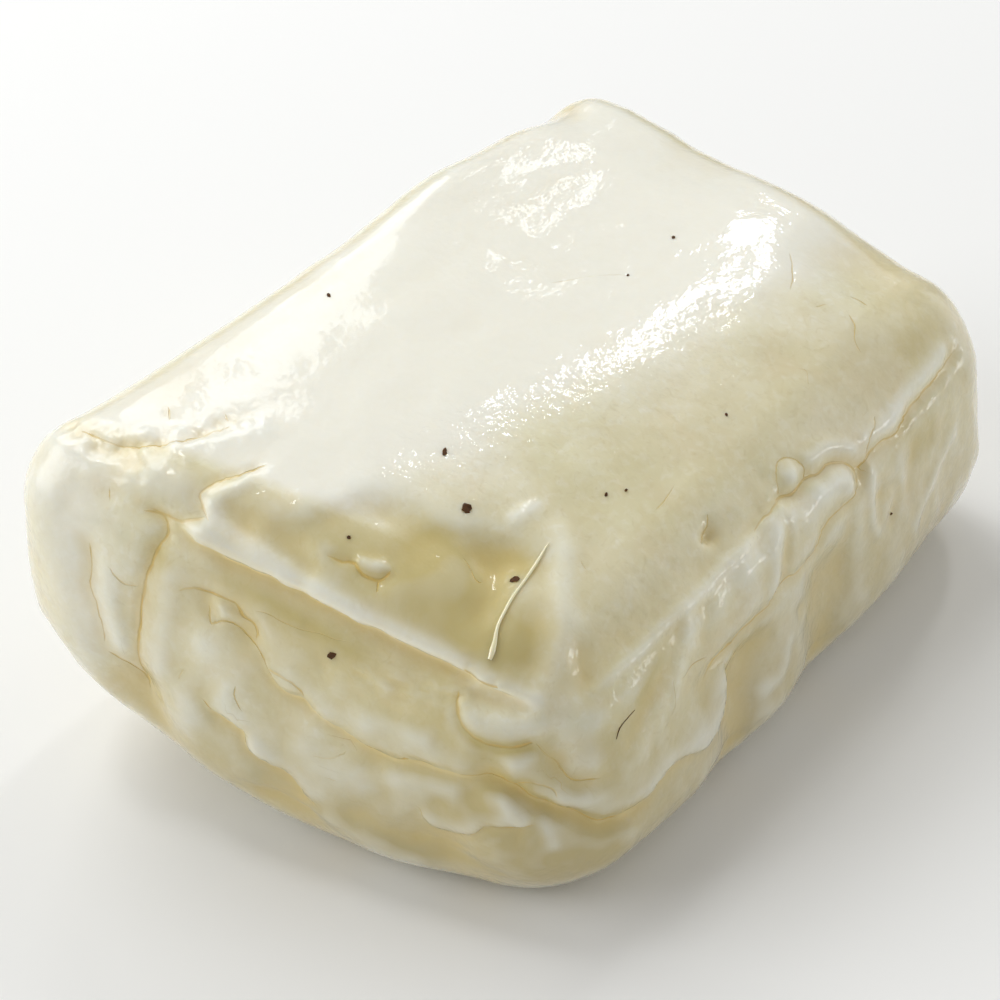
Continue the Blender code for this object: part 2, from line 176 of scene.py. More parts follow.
class Skin:
    """The skin's points, and what the folds add to them: lift outward and a sideways push.

    Each seam also leaves its distance on the skin, in two layers so that neighbours stay apart,
    for the curd's colour to paint a thin yellow line along it, painted crease shade.
    """

    def __init__(self, points):
        count = len(points)
        self.points = points
        self.normals = skin_normals(points)
        self.lift = np.zeros(count)
        self.push = np.zeros((count, 3))
        self.seam = [np.full(count, 3.0), np.full(count, 3.0)]
        self.seam_depth = [np.zeros(count), np.zeros(count)]
        self.painted_tone_and_light = np.zeros(count)
        self.wet = np.zeros(count)
        self.film = np.ones(count)
        self.waver = noise_at(points, 2.6)
        self.tremble = noise_at(points, 0.9)

    def beside(self, path, reach):
        """Points near a path: which, signed distance to its left, and how far from its ends."""
        low = path.min(axis=0) - reach
        high = path.max(axis=0) + reach
        near = np.nonzero(np.all((self.points > low) & (self.points < high), axis=1))[0]
        away = np.full(len(near), 1e9)
        closest = np.zeros(len(near), dtype=int)
        spots = self.points[near]
        for index, spot in enumerate(path):
            gap = np.sum((spots - spot) ** 2, axis=1)
            nearer = gap < away
            away = np.where(nearer, gap, away)
            closest = np.where(nearer, index, closest)
        away = np.sqrt(away)
        near, closest, away = near[away < reach], closest[away < reach], away[away < reach]
        if len(path) == 1:
            return near, away, np.full(len(near), 1.0), np.zeros((len(near), 3))
        along = np.gradient(path, axis=0)
        along /= np.linalg.norm(along, axis=1, keepdims=True)
        left = np.cross(self.normals[near], along[closest])
        offset = np.sum((self.points[near] - path[closest]) * left, axis=1)
        side = np.where(offset >= 0.0, 1.0, -1.0)
        at_end = (closest == 0) | (closest == len(path) - 1)
        from_end = np.minimum(closest, len(path) - 1 - closest) / (len(path) - 1)
        return near, np.where(at_end, side * away, offset), from_end, left

    def stroke(self, path, width):
        """Points near a path, and how far a soft-edged stroke along it covers each."""
        near, across, _, _ = self.beside(smooth_path(path), FADE_WIDTHS * width)
        return near, np.exp(-(across / width) ** 2)

    def ridge(self, path, height, width):
        """A rounded ridge, or with a negative height a trough or a dent."""
        near, cover = self.stroke(path, width)
        self.lift[near] += SWELL * height * cover

    def crease(self, path, depth, width, layer=0, wander=0.3, mark=None):
        """A sharp crease between two rounded banks, fading to its ends."""
        mark = min(1.0, 1.2 * depth) if mark is None else mark
        near, across, from_end, _ = self.beside(smooth_path(path), max(6.0 * width, 2.0))
        fade = np.clip(from_end / 0.12, 0.0, 1.0) ** 0.5
        across = across + wander * self.waver[near] + 0.3 * wander * self.tremble[near]
        gap = np.abs(across)
        self.lift[near] -= 0.38 * depth * fade * np.exp(-gap / (0.8 * width))
        nearer = gap < np.abs(self.seam[layer][near])
        marked = near[nearer]
        self.seam[layer][marked] = across[nearer]
        close = np.clip((1.6 - gap[nearer]) / 0.8, 0.0, 1.0)
        self.seam_depth[layer][marked] = close * fade[nearer] * mark

    def lip(self, path, rise, drop, spread, overhang, edge):
        """A step whose left bank stands proud and leans out over the right one."""
        near, across, from_end, left = self.beside(smooth_path(path), 3.0 * spread)
        fade = np.clip(from_end / 0.12, 0.0, 1.0)
        fade = fade * fade * (3.0 - 2.0 * fade)
        across = across + 0.35 * self.waver[near]
        upper = 0.5 + 0.5 * np.tanh(across / edge)
        bank = np.exp(-np.abs(across) / spread)
        self.lift[near] += fade * bank * (upper * rise - (1.0 - upper) * drop)
        lean = overhang * fade * np.exp(-((across - 0.6 * edge) / (1.2 * edge)) ** 2)
        self.push[near] -= left * lean[:, None]

    def rough(self, path, height, width, grain):
        """Fine torn ridges along a path, drawn out in the grain's direction."""
        near, cover = self.stroke(path, width)
        torn = 1.0 - 2.0 * np.abs(noise_at(self.points[near], np.array(grain), 11.0))
        self.lift[near] += height * cover * torn

    def paint_stain_and_shade(self, path, amount, width):
        """Beige along a path, partly stain and partly painted shade, and with a minus paler,
        painted light.
        """
        near, cover = self.stroke(path, width)
        self.painted_tone_and_light[near] += amount * cover

    def beaded(self, path, amount, width):
        """Where brine stands in small beads on the skin."""
        near, cover = self.stroke(path, width)
        self.wet[near] = np.maximum(self.wet[near], amount * cover)

    def settled(self):
        """The finished points: folds added, underside kept flat."""
        flat = np.clip(-self.normals[:, 2] * 1.6 - 0.4, 0.0, 1.0)
        free = (1.0 - flat)[:, None]
        moved = self.points + free * (self.normals * self.lift[:, None] + self.push)
        moved[:, 2] = np.maximum(moved[:, 2], 0.0)
        return moved


def lay(stroke, place, rows):
    """Lays one kind of stroke along several paths."""
    for path, amount, width in rows:
        stroke(place(path), amount, width)


def shape_left_lobe(skin):
    """The end of the lower layer, rolled round at the left of the fold end."""
    seam = on_wall([(161.7, 36.3), (163.6, 35.6), (164.4, 34.3), (164.0, 31.5), (163.4, 29.3),
                    (163.4, 26.3), (163.5, 22.2), (163.5, 19.0), (163.8, 15.3)])
    skin.ridge(seam, -0.45, 2.0)
    skin.crease(seam, 1.2, 0.45)
    skin.ridge(on_wall([(166.5, 31.0), (166.3, 25.9), (165.9, 19.9)]), 0.33, 1.6)
    fold = on_wall([(157.7, 31.8), (158.2, 29.1), (158.2, 27.1), (159.1, 24.7), (160.1, 20.9)])
    skin.ridge(fold, -0.45, 1.5)
    skin.crease(fold, 0.4, 0.4)
    lay(skin.ridge, on_wall, (
        ([(160.1, 29.1), (160.7, 25.5), (161.6, 21.5)], 0.26, 0.9),
        ([(153.5, 32.8), (152.5, 27.8)], -0.33, 2.4), ([(147.0, 28.0), (149.0, 20.0)], 0.33, 2.6)))
    skin.crease(on_wall([(160.1, 29.7), (161.5, 28.6), (163.0, 28.5)]), 0.4, 0.4, 1)
    skin.crease(on_wall([(160.6, 19.9), (162.5, 18.4), (163.9, 15.8)]), 0.6, 0.5, 1)
    skin.crease(on_wall([(157.0, 37.1), (157.9, 36.2)]), 0.26, 0.4)
    skin.ridge(on_top([(-46.4, 28.2), (-46.6, 25.0), (-46.5, 21.8), (-45.7, 18.9)]), 0.39, 1.3)
    groove = on_top([(-44.9, 26.4), (-44.4, 23.5), (-43.5, 21.0), (-41.5, 18.4), (-38.9, 16.7),
                     (-35.1, 15.1)])
    skin.ridge(groove, -0.59, 2.2)
    skin.rough(groove, 0.30, 2.4, (1.6, 1.6, 1.6))
    skin.crease(groove, 0.6, 0.5)
    for x, y in ((-43.0, 19.0), (-39.0, 18.2), (-41.4, 20.7), (-40.7, 17.1), (-36.9, 17.0)):
        skin.ridge(on_top([(x, y)]), 0.45, 0.8)
    skin.crease(on_top([(-36.9, 22.1), (-38.2, 20.5)]), 0.45, 0.5)
    skin.crease(on_top([(-34.2, 17.1), (-34.8, 16.0)]), 0.5, 0.45, 1)


def shape_nose(skin):
    """The nose of the fold: a round bead of curd, and the torn corner of the flap beside it."""
    skin.ridge(on_top([(-44.7, 15.9), (-43.8, 14.2)]), 0.65, 2.2)
    skin.ridge(on_top([(-43.2, 17.1), (-40.9, 16.3), (-37.6, 14.6), (-33.7, 12.5)]), 0.39, 1.6)
    skin.crease(on_top([(-46.5, 15.7), (-46.0, 13.9), (-45.5, 12.5), (-44.6, 10.8),
                        (-44.0, 9.9)]), 1.0, 0.5, 1)
    torn = on_top([(-44.1, 9.5), (-43.5, 10.9), (-43.0, 11.7), (-41.6, 11.1), (-40.3, 10.4),
                   (-37.0, 8.6)])
    skin.crease(torn, 0.9, 0.5)
    skin.ridge(on_top([(-42.8, 9.9), (-41.6, 9.6), (-39.7, 8.7)]), 0.45, 0.9)


def shape_flap(skin):
    """The upper layer, which ends in a thin lip over the fold end, dented by fingers."""
    edge = on_wall([(163.6, 36.0), (165.9, 35.5), (170.2, 34.5), (174.4, 33.9), (179.6, 33.0),
                    (186.2, 31.7), (194.0, 30.3), (199.0, 29.3), (204.2, 28.4), (207.4, 27.5),
                    (211.2, 26.6), (214.4, 25.8)])
    skin.lip(edge, rise=0.5, drop=1.0, spread=3.2, overhang=0.5, edge=0.35)
    skin.crease(on_wall([(203.6, 28.7), (206.3, 27.9), (208.4, 27.5)]), 0.6, 0.4, 1)
    skin.ridge(on_wall([(205.8, 27.4), (209.6, 26.7), (212.8, 26.2)]), 0.39, 0.9)
    scallop = on_top([(-42.6, 10.2), (-41.6, 6.2), (-40.8, 3.1), (-39.0, 1.5), (-36.2, 0.4),
                      (-33.2, -1.3), (-31.2, -4.0), (-31.0, -6.7), (-29.7, -9.0), (-27.0, -11.6),
                      (-24.6, -14.6)])
    skin.lip(scallop, rise=0.2, drop=0.6, spread=4.6, overhang=0.0, edge=1.3)
    lay(skin.ridge, on_top, (
        ([(-42.9, 9.1), (-42.5, 6.2)], -0.4, 1.7), ([(-41.3, 2.9), (-41.8, -0.5)], -0.5, 1.5),
        ([(-38.0, 3.2), (-39.1, 0.4), (-40.0, -2.0)], 0.15, 1.3),
        ([(-33.9, -3.8), (-34.0, -7.0)], -0.45, 3.0), ([(-29.4, -12.4), (-27.2, -14.6)], -0.7, 1.9),
        ([(-30.4, -14.3), (-34.2, -15.6)], -0.7, 2.0),
        ([(-37.6, -9.0), (-37.2, -12.0)], 0.15, 2.4)))
    whey = on_top([(-40.0, -1.8), (-39.5, -3.1), (-38.9, -4.0), (-39.1, -5.0), (-38.9, -5.9),
                   (-38.4, -6.8), (-37.1, -7.3)])
    skin.crease(whey, 0.9, 0.5, wander=0.15)
    skin.crease(on_top([(-38.5, -6.6), (-39.3, -7.3)]), 0.5, 0.35, 1)
    for x, y in ((-38.4, -4.6), (-37.9, -5.7), (-37.4, -6.5)):
        skin.ridge(on_top([(x, y)]), 0.5, 0.65)
    skin.crease(on_top([(-31.2, -11.1), (-31.7, -12.3), (-32.2, -13.3), (-31.5, -13.8)]), 0.2, 0.35,
                mark=0.4)


def shape_fold_end(skin):
    """The end wall under the flap: the open seam of the fold, its bead and its wrinkles."""
    main = on_wall([(177.1, 25.7), (178.0, 24.8), (179.7, 23.1), (181.5, 22.0), (183.5, 21.8),
                    (186.0, 20.7), (190.0, 19.4), (194.5, 18.6), (199.6, 19.0), (204.7, 19.0),
                    (208.3, 19.1)])
    skin.ridge(main, -0.25, 1.5)
    skin.lip(main, rise=0.5, drop=0.2, spread=3.0, overhang=0.5, edge=0.4)
    skin.crease(main, 0.8, 0.4)
    skin.crease(on_wall([(179.0, 24.1), (181.0, 23.4), (182.0, 23.1), (183.7, 22.3)]), 0.5, 0.35, 1)
    pocket = on_wall([(171.2, 28.9), (173.6, 28.3), (175.6, 27.0)])
    skin.ridge(pocket, -0.59, 1.7)
    skin.crease(on_wall([(167.3, 29.5), (168.8, 30.1), (170.2, 30.0), (172.7, 29.7), (173.8, 29.3),
                         (174.8, 28.4), (176.1, 27.8), (176.8, 26.2)]), 0.8, 0.4, 1)
    skin.crease(on_wall([(170.7, 28.6), (171.3, 26.9), (172.6, 27.5), (174.1, 27.4), (175.6, 26.4),
                         (177.2, 25.6)]), 0.45, 0.4)
    for bearing, height in ((171.9, 29.1), (173.0, 28.6), (172.5, 28.0), (174.2, 28.1)):
        skin.ridge(on_wall([(bearing, height)]), 0.45, 0.6)
    skin.crease(on_wall([(176.1, 29.5), (178.0, 29.7), (181.5, 29.1), (184.4, 29.0),
                         (188.3, 28.9)]), 0.16, 0.3)
    knob = on_wall([(203.3, 26.6), (203.4, 25.5), (204.5, 23.8), (206.7, 22.5), (209.8, 22.4),
                    (212.9, 22.7)])
    skin.ridge(on_wall([(205.5, 24.4), (208.6, 24.3), (212.3, 24.2)]), 0.7, 2.2)
    skin.ridge(on_wall([(205.9, 26.3), (210.7, 25.8)]), -0.33, 0.9)
    skin.crease(knob, 0.9, 0.45)
    corner = on_wall([(213.2, 22.7), (214.5, 21.5), (215.5, 20.7), (216.2, 19.4), (218.0, 18.1),
                      (221.1, 17.5)])
    skin.ridge(corner, -0.45, 1.4)
    skin.crease(corner, 0.5, 0.35, 1, mark=0.5)
    skin.ridge(on_wall([(210.9, 21.0), (213.5, 21.5)]), 0.39, 0.9)
    skin.ridge(on_wall([(217.0, 16.3), (218.7, 15.7)]), 0.39, 1.0)
    deep = on_wall([(207.8, 19.1), (210.9, 18.3), (212.9, 16.9), (215.0, 16.0), (217.0, 15.1),
                    (219.1, 13.6), (222.1, 12.2), (226.1, 11.6)])
    skin.ridge(deep, -0.72, 1.5)
    skin.lip(deep, rise=0.6, drop=0.2, spread=2.0, overhang=0.2, edge=0.4)
    skin.crease(deep, 1.5, 0.55)
    skin.crease(on_wall([(210.9, 18.6), (213.4, 18.4), (215.4, 17.7), (215.8, 16.7)]), 0.5, 0.35, 1)
    lay(skin.ridge, on_wall, (
        ([(209.6, 17.1), (210.9, 15.7), (211.9, 14.5)], 0.45, 0.9),
        ([(214.5, 14.2), (215.5, 11.4)], 0.33, 0.8), ([(206.2, 16.6), (207.8, 14.9)], -0.33, 1.4)))
    wrinkle = on_wall([(199.1, 13.4), (200.6, 11.4), (202.6, 11.1), (205.2, 11.7), (208.3, 13.4),
                       (213.4, 13.9)])
    skin.crease(wrinkle, 0.5, 0.4)
    skin.lip(wrinkle, rise=0.5, drop=0.3, spread=2.0, overhang=0.2, edge=0.5)
    low = on_wall([(171.2, 18.4), (173.7, 17.1), (176.6, 16.2), (177.2, 14.4), (179.6, 12.9),
                   (182.1, 12.3), (184.1, 10.6), (185.6, 8.9)])
    skin.ridge(low, -0.2, 1.5)
    skin.lip(low, rise=0.4, drop=0.5, spread=2.4, overhang=0.4, edge=0.4)
    skin.crease(low, 0.7, 0.4)
    skin.ridge(on_wall([(178.5, 14.6)]), 0.39, 1.0)
    skin.crease(on_wall([(175.1, 21.3), (175.0, 20.2), (175.6, 19.0), (176.2, 18.4)]), 0.33, 0.35)
    skin.crease(on_wall([(168.8, 21.0), (168.3, 19.7)]), 0.33, 0.4)
    skin.crease(on_wall([(185.5, 15.8), (187.5, 16.2), (189.5, 17.1)]), 0.20, 0.35)
    skin.crease(on_wall([(187.0, 13.7), (189.0, 13.7)]), 0.16, 0.3)
    wet = on_wall([(188.9, 24.9), (193.4, 25.5), (198.4, 25.7), (202.3, 26.0)])
    skin.rough(wet, 0.22, 2.0, (0.7, 3.4, 0.55))
    lay(skin.ridge, on_wall, (
        ([(184.5, 16.4), (191.5, 14.7)], 0.6, 2.6), ([(196.5, 16.1), (202.6, 16.6)], 0.5, 1.8),
        ([(171.7, 23.7), (173.7, 20.7)], 0.4, 2.4), ([(191.5, 9.7), (197.6, 8.0)], -0.7, 2.2),
        ([(166.1, 12.6), (171.6, 11.6)], -0.6, 2.4), ([(192.5, 21.7), (199.6, 21.7)], 0.5, 1.5)))


def shape_corner(skin):
    """The upright corner between the fold end and the fold side, where the flap tucks in."""
    skin.ridge(on_wall([(216.0, 32.5), (215.6, 29.9), (215.3, 28.4), (213.8, 27.1)]), 0.25, 1.5)
    skin.ridge(on_wall([(212.2, 30.8), (211.8, 28.8)]), -0.39, 1.6)
    tuck = on_wall([(218.2, 28.3), (219.3, 26.6), (220.2, 25.8)])
    skin.ridge(tuck, -0.39, 1.4)
    skin.crease(tuck, 0.2, 0.4, mark=0.0)
    skin.ridge(on_top([(-21.6, -15.3), (-24.4, -17.8), (-27.3, -19.7), (-28.6, -21.6)]), 0.18, 1.3)
    skin.ridge(on_wall([(216.5, 25.3), (217.1, 23.0)]), 0.30, 1.7)
    skin.ridge(on_wall([(219.2, 23.3), (220.1, 19.6)]), 0.26, 1.6)


def shape_fold_side(skin):
    """The long side: the flap's wet edge, the layers' seam, and the pleats pressed in below it."""
    edge = [(220.4, 25.5), (223.8, 25.7), (229.9, 26.1), (236.1, 26.5), (242.6, 26.5),
            (249.4, 27.1), (256.3, 27.2), (264.5, 27.9), (270.7, 28.1)]
    skin.ridge(on_wall(edge), 0.58, 0.6)
    skin.ridge(on_wall([(bearing, height - 1.9) for bearing, height in edge]), 0.33, 1.5)
    skin.ridge(on_wall([(bearing, height + 2.3) for bearing, height in edge]), -0.30, 1.6)
    seam = on_wall([(260.3, 27.7), (264.6, 28.2), (268.7, 28.3), (273.3, 28.5), (277.1, 28.2),
                    (283.4, 28.5), (286.5, 28.1), (290.5, 28.1), (293.3, 27.6), (295.4, 26.3),
                    (296.1, 25.6), (300.5, 26.4), (304.1, 26.4), (307.5, 26.0), (311.8, 27.3),
                    (317.3, 27.9), (322.5, 29.2)])
    skin.ridge(seam, -0.45, 1.3)
    skin.crease(seam, 1.0, 0.45)
    lay(skin.ridge, on_wall, (
        ([(285.8, 29.7), (292.2, 29.5), (296.4, 28.1)], 0.39, 1.0),
        ([(301.0, 27.8), (306.3, 27.8), (310.7, 28.8), (320.9, 29.7)], 0.45, 1.3),
        ([(278.6, 29.4)], 0.59, 1.2)))
    skin.crease(on_wall([(273.2, 28.8), (275.3, 30.2), (278.6, 30.9), (282.1, 30.6), (283.5, 29.5),
                         (282.5, 28.5)]), 0.5, 0.35, 1, wander=0.1)
    skin.crease(on_wall([(299.5, 26.5), (301.4, 27.7), (304.0, 28.4), (305.3, 29.1)]), 0.6, 0.4, 1)
    branch = on_wall([(295.9, 25.4), (293.4, 23.6), (290.9, 23.2), (287.2, 23.5), (284.2, 23.3),
                      (281.1, 22.7), (278.6, 21.1), (271.8, 20.8), (267.4, 21.2), (263.5, 21.3),
                      (261.0, 20.2), (257.0, 20.0), (250.1, 19.5), (244.2, 19.2), (240.7, 18.4)])
    skin.ridge(branch, -0.33, 1.2)
    skin.crease(branch, 0.6, 0.4)
    skin.crease(on_wall([(249.1, 19.6), (245.7, 19.4), (241.7, 18.7)]), 0.7, 0.5, 1)
    lay(skin.ridge, on_wall, (
        ([(282.8, 26.6), (288.2, 26.5), (291.8, 25.5)], 0.45, 1.5),
        ([(273.6, 26.9), (277.7, 25.5)], 0.26, 1.4),
        ([(267.2, 26.7), (264.0, 24.6), (262.1, 21.9)], 0.45, 1.2),
        ([(269.5, 26.1), (266.1, 22.5)], -0.39, 1.0), ([(254.4, 25.5), (255.2, 23.1)], 0.33, 2.0),
        ([(234.8, 24.4), (231.8, 23.2), (230.1, 22.2), (225.7, 19.6)], -0.35, 1.5),
        ([(242.7, 25.4), (241.7, 24.2), (240.7, 23.1)], -0.25, 1.0),
        ([(238.5, 25.7), (236.6, 23.9), (234.5, 21.6), (233.4, 19.2)], 0.20, 0.9)))
    skin.crease(on_wall([(233.5, 21.5), (233.2, 19.0), (231.2, 17.0)]), 0.16, 0.3)
    skin.crease(on_wall([(241.3, 20.8), (237.9, 21.4), (234.9, 21.0)]), 0.25, 0.3, 1)
    lay(skin.ridge, on_wall, (
        ([(298.4, 25.3), (297.5, 22.6), (297.2, 18.5), (298.4, 16.3)], 0.33, 0.8),
        ([(300.5, 21.0), (304.4, 19.7), (302.3, 16.2)], -0.39, 1.1),
        ([(290.2, 20.3), (288.0, 12.5)], -0.26, 1.6), ([(284.4, 19.8), (282.2, 12.4)], 0.33, 1.8),
        ([(317.7, 20.5), (314.2, 17.7), (307.6, 12.7)], 0.33, 0.9),
        ([(309.9, 23.5), (307.8, 18.6)], -0.39, 1.6)))
    bulge = on_wall([(246.4, 18.2), (247.3, 15.5), (246.6, 12.8), (244.1, 11.8), (240.6, 11.2),
                     (237.1, 11.9), (234.1, 12.9), (230.1, 12.7), (226.6, 11.9), (223.6, 12.0)])
    skin.crease(bulge, 0.4, 0.4)
    skin.lip(bulge[::-1], rise=0.6, drop=0.4, spread=2.4, overhang=0.3, edge=0.5)
    lay(skin.ridge, on_wall, (
        ([(249.5, 12.9)], -0.39, 0.9), ([(253.0, 16.6), (260.4, 16.3)], -0.45, 1.6),
        ([(272.1, 15.6)], -0.45, 1.3), ([(267.1, 13.2), (264.2, 10.4), (257.8, 10.3)], 0.33, 0.9)))


def shape_top(skin):
    """The pressed top and its shoulder: slack edges, a pit and the small cracks of bending."""
    for x, y, rise, reach in ((-40.3, 27.6, -0.5, 7.0), (-35.1, 26.8, -0.9, 8.0),
                              (-27.0, 28.0, -1.0, 8.0), (-15.8, 28.2, -1.2, 8.0),
                              (-4.1, 29.9, -0.6, 7.0), (12.8, 30.7, 1.0, 7.0),
                              (35.4, 29.4, -1.8, 5.5), (38.9, 9.6, -1.0, 7.0),
                              (36.8, -16.1, -2.3, 7.5)):
        skin.ridge(on_top([(x, y)]), rise, reach)
    pit = on_top([(-8.1, -23.2), (-8.9, -24.0), (-10.7, -24.6)])
    skin.ridge(on_top([(-9.2, -24.7)]), -0.9, 0.9)
    skin.crease(pit, 0.5, 0.4)
    for path, depth in (([(29.4, -9.2), (27.7, -10.5), (25.7, -11.8), (23.5, -13.0)], 0.5),
                        ([(23.5, -16.0), (25.6, -16.7)], 0.4),
                        ([(29.2, -17.5), (29.6, -18.5), (29.5, -19.6)], 0.6),
                        ([(26.1, -19.1), (25.2, -20.3), (23.5, -21.5), (22.8, -22.8)], 0.6),
                        ([(14.7, -19.5), (15.2, -20.4), (13.7, -21.5)], 0.35),
                        ([(-22.9, -18.5), (-23.3, -19.6)], 0.35),
                        ([(-12.5, -19.8), (-10.4, -19.9), (-8.6, -19.4)], 0.3),
                        ([(4.8, 6.6), (9.8, 3.6), (12.1, 1.3)], 0.15)):
        skin.crease(on_top(path), 0.3 * depth, 0.5, mark=0.9 * depth)
    skin.ridge(on_top([(-24.2, -11.7), (-21.9, -11.9)]), 0.3, 0.7)


def ramp(values, start, end):
    """0 at the start, 1 at the end and straight between them."""
    return np.clip((values - start) / (end - start), 0.0, 1.0)


def paint_tone_and_light(skin):
    """Painted tone and light: above zero yellower and darker, below zero paler.

    Strokes paint hollows, folds and the foot beige, partly stain and partly painted shade, and rims
    and lobes pale, painted light. The level top is painted palest, a painted sheen; the walls, the
    bend beside it and the nose facet are painted yellower as painted shade, more so on the fold end
    and towards the foot. The wet film lies smoother on the level top.
    """
    # Strokes: beige ones paint hollows, folds, the deep crease and the foot, partly stain and
    # partly painted shade; minus ones paint lit rims, lobes and banks pale, painted light.
    lay(skin.paint_stain_and_shade, on_top, (
        ([(-33.8, -4.1), (-33.6, -7.0)], 0.15, 3.0), ([(-38.0, -2.9), (-36.8, -4.3)], 0.15, 2.4),
        ([(-32.3, -7.8), (-32.9, -10.7), (-34.0, -13.6), (-35.4, -15.7)], 0.75, 3.0),
        ([(-29.8, -12.2), (-28.6, -13.8), (-27.4, -15.3)], 0.55, 1.7),
        ([(-28.6, -13.8), (-31.5, -14.7), (-34.2, -15.4)], 0.45, 1.9),
        ([(-43.6, 9.2), (-43.4, 5.3), (-42.4, -0.9), (-41.6, -4.7), (-40.2, -10.0),
          (-39.0, -13.7), (-38.2, -17.3), (-37.4, -20.6), (-35.9, -23.0)], -0.90, 0.9),
        ([(-21.6, -15.3), (-24.4, -17.8), (-27.3, -19.7), (-28.6, -21.6), (-30.9, -22.5),
          (-34.2, -23.0)], -0.30, 1.3), ([(-32.4, -20.3), (-34.1, -20.8)], 0.40, 1.8),
        ([(-36.5, -10.0), (-33.0, -17.0)], 0.28, 3.5),
        ([(-24.4, -11.1), (-22.7, -11.6), (-21.1, -12.0)], -0.80, 0.6),
        ([(-42.6, 8.0), (-42.2, 5.5)], 0.10, 1.8), ([(-42.9, 11.5), (-43.4, 10.0)], -0.60, 0.9),
        ([(41.0, -19.0), (33.0, -24.0), (24.0, -27.0)], 0.18, 8.0)))
    lay(skin.paint_stain_and_shade, on_wall, (
        ([(171.4, 33.0), (177.3, 31.5), (183.9, 30.2), (189.2, 29.2), (196.0, 28.2),
          (201.3, 27.4)], 0.25, 1.9), ([(173.8, 31.0), (181.6, 29.6), (188.3, 28.0)], 0.20, 2.4),
        ([(184.0, 8.0), (198.0, 7.0), (212.0, 8.0)], 0.10, 4.0),
        ([(209.0, 18.3), (213.0, 17.0), (217.0, 15.2), (222.0, 12.4)], 0.90, 1.1),
        ([(216.0, 10.0), (222.0, 9.0)], 0.30, 3.5), ([(194.0, 5.0), (212.0, 5.0)], 0.10, 3.0),
        ([(205.0, 25.0), (213.0, 22.0), (220.0, 20.0)], 0.25, 5.0),
        ([(306.0, 31.0), (312.0, 32.0)], 0.10, 4.0),
        ([(171.1, 24.5), (173.1, 21.6), (175.8, 18.9)], -0.35, 2.0),
        ([(184.0, 19.5), (189.4, 18.0)], -0.40, 1.6), ([(200.0, 16.3), (203.9, 15.1)], 0.40, 2.2),
        ([(207.5, 16.0), (209.9, 12.8)], 0.40, 1.8),
        ([(151.2, 38.8), (152.3, 36.0), (154.8, 35.0), (157.0, 29.2), (159.4, 23.0)], -0.80, 4.2),
        ([(160.5, 27.0), (161.8, 23.9)], 0.45, 1.3), ([(164.1, 33.5), (164.7, 31.7)], 0.45, 1.3),
        ([(206.2, 25.4), (210.5, 24.8), (212.9, 23.8)], -0.50, 1.2),
        ([(211.8, 22.6), (209.5, 22.6), (206.0, 21.8)], 0.45, 1.1),
        ([(212.1, 16.9), (215.5, 17.1)], -0.60, 1.1), ([(215.9, 23.9), (217.8, 19.9)], -0.55, 1.1),
        ([(217.1, 25.3), (219.0, 21.5), (220.4, 16.0)], -0.35, 1.5),
        ([(243.0, 26.3), (253.8, 26.4), (267.4, 27.2)], -0.50, 1.2),
        ([(238.5, 23.2), (231.3, 20.2), (227.5, 18.1)], -0.40, 1.5),
        ([(230.1, 24.2), (227.9, 22.5)], 0.45, 1.4), ([(251.4, 17.5), (258.0, 17.6)], 0.45, 1.9),
        ([(240.0, 16.1), (245.2, 15.0)], 0.35, 1.9), ([(234.0, 25.6), (226.0, 21.0)], 0.30, 1.6),
        ([(306.0, 28.0), (313.3, 28.0), (319.3, 28.8)], -0.60, 1.3),
        ([(308.5, 22.8), (314.5, 22.4)], 0.40, 2.0), ([(319.2, 32.0), (323.2, 32.4)], 0.40, 2.2),
        ([(278.0, 26.9), (288.2, 26.5)], -0.40, 1.3)))
    lay(skin.beaded, on_top, (
        ([(-40.1, 3.1), (-40.0, 2.4)], 1.0, 0.5), ([(-39.4, -0.5), (-40.1, -2.4)], 1.0, 0.6),
        ([(-40.0, -7.0), (-38.5, -9.7), (-36.9, -10.0), (-37.7, -8.0)], 1.0, 0.8),
        ([(-36.5, -6.1), (-35.8, -6.5)], 1.0, 0.6), ([(-33.4, -10.0), (-33.9, -11.3)], 0.6, 0.8),
        ([(-25.1, -4.3), (-18.7, -7.5), (-12.0, -9.6), (-4.5, -10.5), (10.0, -12.5)], 0.9, 3.2),
        ([(-23.5, 0.9), (-17.2, -1.0)], 0.8, 1.5)))
    lay(skin.beaded, on_wall, (
        ([(188.5, 25.5), (196.6, 26.4), (202.5, 25.6)], 1.0, 2.0),
        ([(221.5, 25.6), (228.8, 26.0), (236.0, 26.4)], 1.0, 0.8),
        ([(243.0, 26.4), (254.8, 27.2), (262.0, 27.5)], 1.0, 0.7),
        ([(206.0, 24.5), (211.0, 24.4)], 0.5, 1.0)))
    x, y, z = skin.points.T
    up = skin.normals[:, 2]
    patchy = noise_at(skin.points, 6.0, 21.0)
    lobe = ramp(y, 14.0, 22.0)
    fold_end = ramp(x, -20.0, -36.0) * ramp(y, 8.0, -6.0)
    # Painted shade: the nose facet, found by which way it faces, is painted yellower.
    nose_facet_shade = skin.normals @ facing(*FACES["nose"][:2]) + 0.02 * patchy
    skin.painted_tone_and_light += 0.30 * ramp(y, 10.0, 5.0) * ramp(nose_facet_shade, 0.90, 0.97)
    # Painted shade: walls are painted yellower, more towards the foot and on the fold end.
    wall = ramp(np.abs(up), 0.55, 0.35) * (1.0 - lobe)
    skin.painted_tone_and_light += wall * (0.42 + 0.14 * patchy + 0.24 * ramp(z, 20.0, 4.0) + 0.14 * fold_end)
